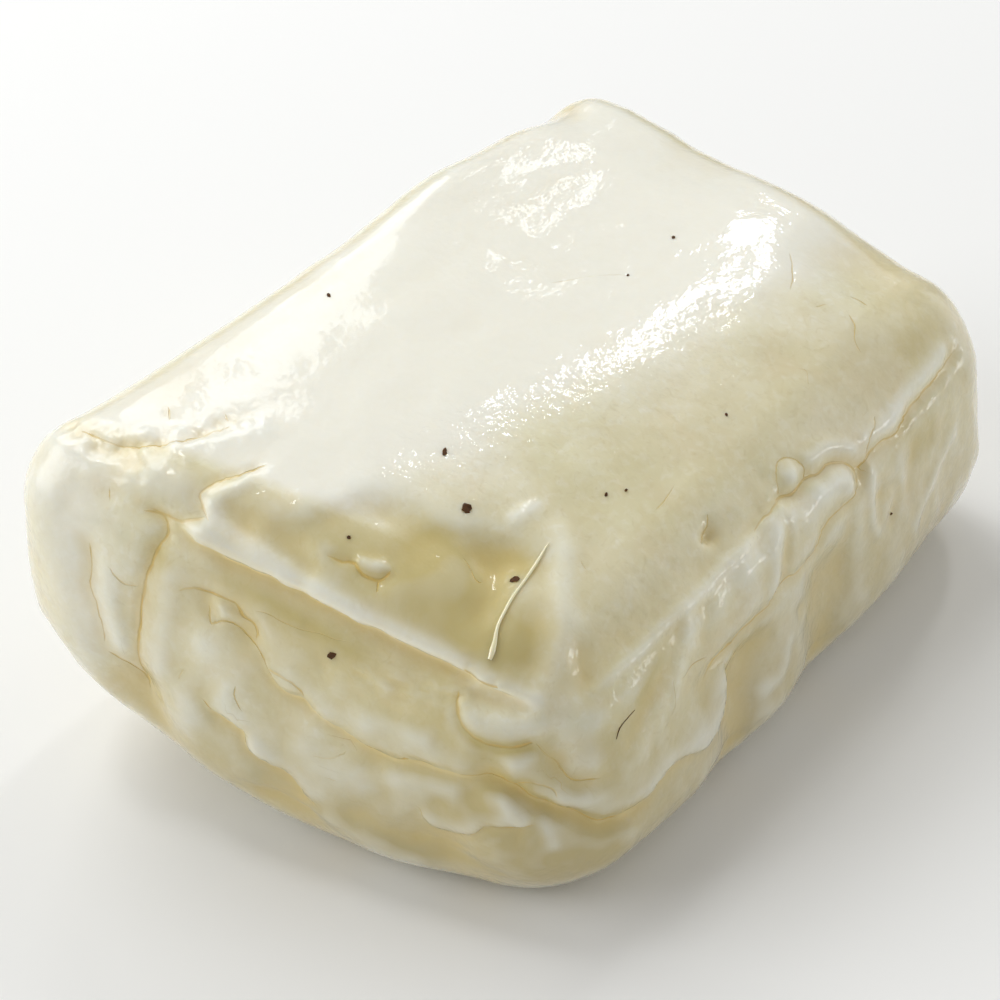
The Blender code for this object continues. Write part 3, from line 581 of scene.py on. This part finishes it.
    # Painted sheen: the level top, found by facing up, is painted paler; the bend beside it is
    # painted yellower as shade.
    pressed = ramp(up + 0.012 * patchy, 0.935, 0.98)
    bend_shade = ramp(up, 0.45, 0.65) * (1.0 - pressed) * (1.0 - lobe)
    skin.painted_tone_and_light += (0.28 + 0.10 * fold_end) * bend_shade
    skin.painted_tone_and_light = np.clip(skin.painted_tone_and_light - pressed, -1.0, 1.0)
    skin.film = 1.0 - 0.6 * ramp(up, 0.982, 0.990)


def press_base(skin):
    """Hollows along the foot of the walls, where the block doesn't quite reach the board."""
    for path in ([(249.0, 4.0), (253.0, 14.0)], [(281.0, 4.0), (283.0, 16.0)],
                 [(186.0, 3.0), (180.0, 7.0)], [(206.0, 3.0), (202.0, 8.0)], [(163.0, 16.0)]):
        skin.ridge(on_wall(path), -2.2, 4.2)


def hand_unevenness(skin):
    """Soft swells everywhere, stronger and drawn upright on the walls than on the pressed top."""
    wall = 1.0 - np.abs(skin.normals[:, 2])
    skin.lift += (0.10 + 0.25 * wall) * noise_at(skin.points, 17.0)
    skin.lift += 0.14 * noise_at(skin.points, np.array([7.0, 5.0, 7.0]), 9.0)
    skin.lift += 0.30 * wall * noise_at(skin.points, np.array([6.0, 6.0, 15.0]))
    skin.lift += 0.18 * wall * noise_at(skin.points, np.array([3.0, 3.0, 5.0]), 5.0)
    skin.lift += (0.02 + 0.07 * wall) * noise_at(skin.points, 1.5, 3.0)


def smoothed(values, edges, count, rounds):
    """Values at the vertices, each averaged with its neighbours the given number of times."""
    sums = np.bincount(edges.ravel(), minlength=count)
    for _ in range(rounds):
        around = (np.bincount(edges[:, 0], weights=values[edges[:, 1]], minlength=count)
                  + np.bincount(edges[:, 1], weights=values[edges[:, 0]], minlength=count))
        values = 0.5 * values + 0.5 * around / sums
    return values


def clear_selection():
    if bpy.context.object and bpy.context.object.mode != "OBJECT":
        bpy.ops.object.mode_set(mode="OBJECT")
    bpy.ops.object.select_all(action="DESELECT")


def cut_along(axis, cuts):
    """Cuts the cube in edit mode across all its edges that run along one axis."""
    shell = bmesh.from_edit_mesh(bpy.context.object.data)
    for edge in shell.edges:
        run = edge.verts[1].co - edge.verts[0].co
        edge.select_set(abs(run[axis]) > 0.9 * run.length)
    shell.select_flush_mode()
    bmesh.update_edit_mesh(bpy.context.object.data)
    bpy.ops.mesh.subdivide(number_cuts=cuts)


# Rounds of averaging that leave only the folds' edges, and only their broad banks, in the relief.
FINE_ROUNDS = 12
BROAD_ROUNDS = 160
# Cuts along each axis before the slices between them are cut finely.
COARSE_CUTS = 7


def make_block():
    clear_selection()
    bpy.ops.mesh.primitive_cube_add(size=1.0, location=(0.0, 0.0, 0.0))
    block = bpy.context.object
    block.name = "halloumi_curd"
    size = CUBE_HIGH - CUBE_LOW
    bpy.ops.object.mode_set(mode="EDIT")
    bpy.ops.mesh.select_mode(type="EDGE")
    for axis in range(3):
        fine_cuts = int(size[axis] / SKIN_STEP / (COARSE_CUTS + 1)) - 1
        cut_along(axis, COARSE_CUTS)
        cut_along(axis, fine_cuts)
    bpy.ops.object.mode_set(mode="OBJECT")
    spots = np.empty(len(block.data.vertices) * 3)
    block.data.vertices.foreach_get("co", spots)
    spots = CUBE_LOW + (spots.reshape(-1, 3) + 0.5) * size
    roots = np.clip(spots, CORE_LOW, CORE_HIGH)
    ways = spots - roots
    ways /= np.linalg.norm(ways, axis=1, keepdims=True)
    skin = Skin(walk_to_skin(roots, ways))
    for shape in (shape_left_lobe, shape_nose, shape_flap, shape_fold_end, shape_corner,
                  shape_fold_side, shape_top, press_base, hand_unevenness, paint_tone_and_light):
        shape(skin)
    moved = skin.settled()
    cad_low, cad_high = (np.array(corner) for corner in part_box("halloumi"))
    low, high = moved.min(axis=0), moved.max(axis=0)
    trim = (cad_high - cad_low) / (high - low)
    moved = cad_low + (moved - low) * trim
    block.data.vertices.foreach_set("co", moved.ravel())
    edges = np.empty(len(block.data.edges) * 2, dtype=np.int32)
    block.data.edges.foreach_get("vertices", edges)
    edges = edges.reshape(-1, 2)
    count = len(moved)
    fine = skin.lift - smoothed(skin.lift, edges, count, FINE_ROUNDS)
    broad = skin.lift - smoothed(skin.lift, edges, count, BROAD_ROUNDS)
    relief = smoothed(np.clip(3.2 * fine + 1.1 * broad, -1.0, 1.0), edges, count, 2)
    for name, values in (("relief", relief), ("painted_tone_and_light", skin.painted_tone_and_light), ("wet", skin.wet),
                         ("film", skin.film),
                         ("seam_a", skin.seam[0]), ("seam_a_depth", skin.seam_depth[0]),
                         ("seam_b", skin.seam[1]), ("seam_b_depth", skin.seam_depth[1])):
        layer = block.data.attributes.new(name, "FLOAT", "POINT")
        layer.data.foreach_set("value", values)
    block.data.update()
    block.data.shade_smooth()
    return block, (low, cad_low, trim)


block, trimming = make_block()


def linear(hex_colour):
    """An sRGB hex colour as linear RGBA."""
    parts = [int(hex_colour[i:i + 2], 16) / 255.0 for i in (1, 3, 5)]
    return (*(p / 12.92 if p <= 0.04045 else ((p + 0.055) / 1.055) ** 2.4 for p in parts), 1.0)


def add_node(tree, kind, settings=(), links=()):
    """Adds a node, sets its properties and sockets, and links other sockets into it."""
    node = tree.nodes.new(kind)
    for name, value in dict(settings).items():
        if hasattr(node, name):
            setattr(node, name, value)
        else:
            node.inputs[name].default_value = value
    for name, source in dict(links).items():
        tree.links.new(source, node.inputs[name])
    return node


# Halloumi curd, pressed and brined: dense, milky and close to white, so light goes a few
# millimetres in; proud edges are painted pale and hollows buttery yellow, painted light and shade,
# and seams get a painted yellow line of crease shade.
def curd_material():
    material = bpy.data.materials.new("pressed_brined_curd")
    material.use_nodes = True
    tree = material.node_tree
    shader = tree.nodes["Principled BSDF"]

    def attribute(name):
        return add_node(tree, "ShaderNodeAttribute", {"attribute_name": name}).outputs["Fac"]

    def noise_field(size, detail, warp=0.0):
        """Noise with swells of a size in millimetres."""
        return add_node(tree, "ShaderNodeTexNoise", {"Scale": 1.0 / (size * MM), "Detail": detail,
                                                      "Distortion": warp},
                        {"Vector": place}).outputs["Fac"]

    def remap(value, low, high, out_low=0.0, out_high=1.0):
        node = add_node(tree, "ShaderNodeMapRange", {"From Min": low, "From Max": high,
                                                     "To Min": out_low, "To Max": out_high},
                        {"Value": value})
        return node.outputs["Result"]

    def math_node(operation, first, second):
        node = add_node(tree, "ShaderNodeMath", {"operation": operation})
        for socket, value in zip(node.inputs, (first, second)):
            if isinstance(value, (int, float)):
                socket.default_value = value
            else:
                tree.links.new(value, socket)
        return node.outputs["Value"]

    def tinted(colour, towards, factor):
        node = add_node(tree, "ShaderNodeMix", {"data_type": "RGBA"})
        tree.links.new(factor, node.inputs["Factor"])
        if isinstance(colour, str):
            node.inputs[6].default_value = linear(colour)
        else:
            tree.links.new(colour, node.inputs[6])
        node.inputs[7].default_value = linear(towards)
        return node.outputs[2]

    place = add_node(tree, "ShaderNodeTexCoord").outputs["Object"]
    relief = attribute("relief")
    lines, deep_lines = [], []
    for seam in ("seam_a", "seam_b"):
        gap = math_node("ABSOLUTE", attribute(seam), 0.0)
        depth = attribute(seam + "_depth")
        reach = math_node("MULTIPLY_ADD", depth, 0.16)
        reach.node.inputs[2].default_value = 0.04
        inside = math_node("SUBTRACT", 1.0, math_node("DIVIDE", gap, reach))
        inside = math_node("MULTIPLY", remap(inside, 0.0, 0.7), remap(depth, 0.0, 0.35))
        lines.append(inside)
        deep_lines.append(math_node("MULTIPLY", inside, remap(depth, 0.5, 1.0)))
    faint = remap(noise_field(3.85, 1.0), 0.35, 0.6, 0.35, 1.0)
    line = math_node("MULTIPLY", math_node("MAXIMUM", *lines), faint)
    deep_line = math_node("MAXIMUM", *deep_lines)

    # Milky base with clouds, small flecks and pores of deeper and paler curd.
    colour = tinted("#F0E8CA", "#EAE3BE", remap(noise_field(18.2, 2.0), 0.35, 0.65))
    colour = tinted(colour, "#EBDCB8", remap(noise_field(7.69, 3.0, 0.6), 0.52, 0.75, 0.0, 0.6))
    colour = tinted(colour, "#DACB9C", remap(noise_field(3.03, 2.0, 1.2), 0.5, 0.72, 0.0, 0.25))
    colour = tinted(colour, "#FAF7E8", remap(noise_field(1.0526, 2.0, 0.5), 0.5, 0.75, 0.0, 0.4))
    colour = tinted(colour, "#CDBD88", remap(noise_field(1.613, 2.0, 2.0), 0.56, 0.78, 0.0, 0.28))
    # Painted tone and light: painted shade makes walls, bend and hollows yellower and the foot
    # darker, a painted sheen makes the top paler, banks are painted pale and hollows yellow, seams
    # get painted crease shade.
    # Painted shade (partly stain) toward beige, and painted sheen toward near white.
    colour = tinted(colour, "#C8B673", remap(attribute("painted_tone_and_light"), 0.0, 1.0, 0.0, 0.9))
    colour = tinted(colour, "#F8F5E7", remap(attribute("painted_tone_and_light"), 0.0, -1.0, 0.0, 0.85))
    # Painted shade: the curd is darker towards the floor, where the foot gets less light.
    height = add_node(tree, "ShaderNodeSeparateXYZ", {}, {"Vector": place}).outputs["Z"]
    colour = tinted(colour, "#B0A488", remap(height, 0.024, 0.004, 0.0, 0.42))
    # Painted light and shade: proud banks are painted paler, hollows a deeper, darker yellow.
    colour = tinted(colour, "#EFF1E8", remap(relief, 0.05, 0.9, 0.0, 0.55))
    colour = tinted(colour, "#DAC27A", remap(relief, -0.05, -0.9, 0.0, 0.5))
    # Painted crease shade: a yellow line along each seam, darker where the crease is deeper.
    colour = tinted(colour, "#DEC06A", math_node("MULTIPLY", line, 0.7))
    colour = tinted(colour, "#C4A04C", math_node("MULTIPLY", deep_line, 0.2))
    tree.links.new(colour, shader.inputs["Base Color"])

    # The curd's own grain, and over it a smooth but wavy film of brine, in beads where it stands.
    pores = noise_field(2.38, 3.0)
    groove = math_node("SUBTRACT", math_node("MULTIPLY", pores, 0.22),
                       math_node("MULTIPLY", line, 0.3))
    curd_bump = add_node(tree, "ShaderNodeBump", {"Strength": 1.0, "Distance": 0.0004},
                         {"Height": groove})
    tree.links.new(curd_bump.outputs["Normal"], shader.inputs["Normal"])
    beads = math_node("ADD", noise_field(1.3333, 1.0, 0.8),
                      math_node("MULTIPLY", noise_field(0.5556, 0.0), 0.3))
    beads = math_node("ADD", math_node("MULTIPLY", beads, attribute("film")),
                      noise_field(4.76, 1.0))
    domes = add_node(tree, "ShaderNodeTexVoronoi", {"Scale": 1.0 / (0.6667 * MM)},
                     {"Vector": place})
    domes = remap(domes.outputs["Distance"], 0.36, 0.0)
    domes = math_node("MULTIPLY", math_node("POWER", domes, 0.5), attribute("wet"))
    film = math_node("SUBTRACT", math_node("MULTIPLY", beads, 0.42),
                     math_node("MULTIPLY", line, 0.2))
    film = math_node("ADD", math_node("MULTIPLY", domes, 0.6), film)
    film_bump = add_node(tree, "ShaderNodeBump", {"Strength": 0.7, "Distance": 0.00025},
                         {"Height": film})
    tree.links.new(film_bump.outputs["Normal"], shader.inputs["Coat Normal"])
    shader.subsurface_method = "BURLEY"
    shader.inputs["Roughness"].default_value = 0.38
    shader.inputs["IOR"].default_value = 1.42
    shader.inputs["Subsurface Weight"].default_value = 0.9
    shader.inputs["Subsurface Radius"].default_value = (1.0, 0.72, 0.36)
    shader.inputs["Subsurface Scale"].default_value = 0.0016
    shader.inputs["Coat Weight"].default_value = 1.0
    shader.inputs["Coat Roughness"].default_value = 0.05
    shader.inputs["Coat IOR"].default_value = 1.34
    return material


block.data.materials.append(curd_material())
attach(block, "root")
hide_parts("halloumi")


def in_row(points):
    """Places on the pressed form, in millimetres, carried over to the finished block in metres."""
    low, cad_low, trim = trimming
    return cad_low + (np.array(points) - low) * trim


def laid_on(spot, way):
    """Where a line from far outside meets the finished block, and the normal there."""
    start = Vector(in_row(spot)) - Vector(way) * 0.1
    hit, place, normal, _ = block.ray_cast(start, Vector(way))
    assert hit, "a scrap misses the block"
    return place, normal


def on_block(places):
    """Points and normals of the finished block for (x, y) pairs, or (bearing, height) ones."""
    found = []
    for a, b in places:
        if abs(a) > 100.0:
            spot = on_wall([(a, b)])[0]
            found.append(laid_on(spot, -facing(a, 0.0)))
        else:
            found.append(laid_on(on_top([(a, b)])[0], (0.0, 0.0, -1.0)))
    return found


def joined(name, parts):
    """Several parts as one object with its origin at the world's."""
    clear_selection()
    for part in parts:
        part.select_set(True)
    bpy.context.view_layer.objects.active = parts[0]
    bpy.ops.object.join()
    bpy.ops.object.transform_apply(location=True, rotation=True, scale=True)
    piece = bpy.context.object
    piece.name = name
    return piece


# ------------------------------------------------------------------------- the mint flecks
# Scraps of dried mint leaf that were folded in with the curd: brittle, nearly black-brown flakes
# under two millimetres long, torn to angular outlines and half sunk in the skin.
def leaf_scrap(place, normal, length, width, turn, seed):
    clear_selection()
    stand = normal.to_track_quat("Z", "Y").to_matrix() @ Matrix.Rotation(math.radians(turn), 3, "Z")
    bpy.ops.mesh.primitive_cylinder_add(vertices=7, radius=0.5, depth=1.0, location=place,
                                        rotation=stand.to_euler())
    scrap = bpy.context.object
    scrap.scale = (length * MM, width * MM, 0.2 * MM)
    bpy.ops.object.transform_apply(location=False, rotation=False, scale=True)
    bpy.ops.object.mode_set(mode="EDIT")
    bpy.ops.mesh.select_all(action="SELECT")
    bpy.ops.transform.vertex_random(offset=0.24 * width * MM, uniform=0.0, normal=0.0, seed=seed)
    bpy.ops.object.mode_set(mode="OBJECT")
    return scrap


flecks = []
for seed, (a, b, length, width, turn) in enumerate((
        (-27.1, -7.9, 1.25, 1.05, 20.0), (-23.4, -2.1, 1.1, 0.45, 50.0),
        (-29.1, -15.4, 1.05, 0.65, -60.0), (-37.5, -2.2, 0.4, 0.36, 0.0),
        (-14.9, -15.6, 0.5, 0.3, 30.0), (-12.9, -16.6, 0.35, 0.3, 0.0),
        (21.6, 1.7, 0.55, 0.4, 10.0), (-12.9, 22.8, 0.7, 0.35, -20.0), (12.1, 1.3, 0.35, 0.25, 0.0),
        (3.0, -18.0, 0.4, 0.28, 70.0), (186.6, 27.2, 0.95, 0.7, 40.0),
        (303.0, 17.0, 0.4, 0.3, 15.0))):
    place, normal = on_block([(a, b)])[0]
    flecks.append(leaf_scrap(place, normal, length, width, turn, seed))
flecks = joined("mint_flecks", flecks)


# Dried mint: dark brown with a green-black cast, matt, which gives the eye its only dark points.
def mint_material():
    material = bpy.data.materials.new("dried_mint_leaf")
    material.use_nodes = True
    tree = material.node_tree
    shader = tree.nodes["Principled BSDF"]
    place = add_node(tree, "ShaderNodeTexCoord").outputs["Object"]
    veins = add_node(tree, "ShaderNodeTexNoise", {"Scale": 1.0 / (0.4 * MM), "Detail": 2.0},
                     {"Vector": place})
    colour = add_node(tree, "ShaderNodeMix", {"data_type": "RGBA"},
                      {"Factor": veins.outputs["Fac"]})
    colour.inputs[6].default_value = linear("#2C1A0C")
    colour.inputs[7].default_value = linear("#6A4420")
    tree.links.new(colour.outputs[2], shader.inputs["Base Color"])
    shader.inputs["Roughness"].default_value = 0.7
    shader.inputs["Specular IOR Level"].default_value = 0.25
    return material


flecks.data.materials.append(mint_material())
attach(flecks, "root")


# ------------------------------------------------------------------------- the strand of curd
# A thread of curd that was drawn out when the flap was folded down. It crosses the end hollow
# from the flap's back to its lip, thin as string and swelling to a wet bead at its foot.
def thread(name, places, radii, sink):
    """A tapering round thread along the block's skin, made as a curve and turned to mesh."""
    clear_selection()
    spots = on_block(places)
    bpy.ops.curve.primitive_nurbs_path_add(location=(0.0, 0.0, 0.0))
    line = bpy.context.object
    line.name = name
    line.data.splines.clear()
    spline = line.data.splines.new("POLY")
    path = smooth_path(np.array([spot + normal * sink * MM for spot, normal in spots]), 0.35 * MM)
    spline.points.add(len(path) - 1)
    share = np.linspace(0.0, len(radii) - 1.0, len(path))
    for point, spot, radius in zip(spline.points, path, np.interp(share, range(len(radii)), radii)):
        point.co = (*spot, 1.0)
        point.radius = radius
    line.data.bevel_depth = MM
    line.data.bevel_resolution = 4
    line.data.use_fill_caps = True
    bpy.ops.object.convert(target="MESH")
    bpy.context.object.data.shade_smooth()
    return bpy.context.object


strand = thread("curd_strand",
                [(-24.0, -15.4), (-26.2, -15.8), (-28.4, -16.2), (-30.8, -16.6), (-32.6, -17.0),
                 (-34.2, -17.4), (-35.4, -18.0), (-36.4, -18.4), (-36.8, -18.5)],
                [0.05, 0.13, *[0.15] * 8, 0.16, 0.2, 0.3, 0.2], 0.12)


# Curd drawn to a thread: the palest of it, smooth and wet, so it carries a line of light.
def drawn_curd_material():
    material = bpy.data.materials.new("drawn_wet_curd")
    material.use_nodes = True
    shader = material.node_tree.nodes["Principled BSDF"]
    shader.inputs["Base Color"].default_value = linear("#F2E8C2")
    shader.inputs["Roughness"].default_value = 0.25
    shader.inputs["Subsurface Weight"].default_value = 0.5
    shader.inputs["Subsurface Radius"].default_value = (1.0, 0.8, 0.5)
    shader.inputs["Subsurface Scale"].default_value = 0.0005
    shader.inputs["Coat Weight"].default_value = 1.0
    shader.inputs["Coat Roughness"].default_value = 0.05
    return material


strand.data.materials.append(drawn_curd_material())
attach(strand, "root")


# ------------------------------------------------------------------------- the mint fibre
# A hair-thin fibre of mint stalk that curls on the fold side, near the front corner.
fibre = thread("mint_fibre", [(226.2, 21.8), (224.8, 21.7), (223.7, 21.5), (223.2, 20.8)],
               [0.02, 0.035, 0.035, 0.04, 0.065, 0.03], 0.02)
fibre.data.materials.append(flecks.data.materials[0])
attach(fibre, "root")


# ------------------------------------------------------------------------- floor, light, camera
# A plain white floor under soft boxes. The key stands behind and to the left, one each lights the
# top, the fold side and the far end, and narrow ones stand where the wet skin mirrors them: along
# the top's far edge and down the shoulder.
FLOOR_SIZE = 3.0
clear_selection()
bpy.ops.mesh.primitive_plane_add(size=FLOOR_SIZE, location=(0.0, 0.0, 0.0))
floor = bpy.context.object
floor.name = "floor"
# Matt paper: an even pale ground that throws soft light back at the walls.
paper = bpy.data.materials.new("matte_white_paper")
paper.use_nodes = True
paper.node_tree.nodes["Principled BSDF"].inputs["Base Color"].default_value = linear("#F4F3F0")
paper.node_tree.nodes["Principled BSDF"].inputs["Roughness"].default_value = 0.9
floor.data.materials.append(paper)


def soft_box(name, bearing, rise, distance, size, power, height=None):
    """An area light that looks at the block."""
    lamp = bpy.data.lights.new(name, "AREA")
    lamp.shape = "RECTANGLE"
    lamp.size = size
    lamp.size_y = height or size
    lamp.energy = power
    lamp.color = (0.96, 0.98, 1.0)
    box = bpy.data.objects.new(name, lamp)
    way = Vector(facing(bearing, rise))
    box.location = way * distance
    box.rotation_euler = way.to_track_quat("Z", "Y").to_euler()
    bpy.context.scene.collection.objects.link(box)


soft_box("key", 135.0, 27.0, 1.0, 0.6, 3.8)
soft_box("back", 82.0, 50.0, 1.1, 0.6, 3.9)
soft_box("side", -54.0, 6.0, 1.0, 0.2, 0.6)
soft_box("overhead", 98.0, 68.0, 1.0, 0.16, 0.9)
soft_box("far_end", -28.0, 15.0, 1.2, 1.0, 3.0)
soft_box("window", 50.0, 37.0, 1.0, 0.16, 0.6, height=0.4)
soft_box("window_sash", 31.0, 38.0, 1.0, 0.03, 0.05, height=0.12)
soft_box("shoulder_strip", 15.5, 46.5, 1.0, 0.08, 1.0, height=0.27)

world = bpy.data.worlds.new("studio")
world.use_nodes = True
world.node_tree.nodes["Background"].inputs["Color"].default_value = (1.0, 1.0, 1.0, 1.0)
world.node_tree.nodes["Background"].inputs["Strength"].default_value = 0.368
bpy.context.scene.world = world
bpy.context.scene.view_settings.view_transform = "Standard"

# The camera looks down on the corner between the fold end and the fold side.
CAMERA_PLACE = np.array([-130.5, -94.6, 141.7])
CAMERA_TILT = 52.0
CAMERA_TURN = -51.6
FOCAL_LENGTH = 64.8
own_low, cad_low, trim = trimming
lens = bpy.data.cameras.new("camera")
lens.lens = FOCAL_LENGTH
lens.sensor_width = 36.0
lens.clip_start = 0.01
camera = bpy.data.objects.new("camera", lens)
camera.location = Vector(cad_low + (CAMERA_PLACE - own_low) * trim)
camera.rotation_euler = (math.radians(CAMERA_TILT), 0.0, math.radians(CAMERA_TURN))
bpy.context.scene.collection.objects.link(camera)
bpy.context.scene.camera = camera
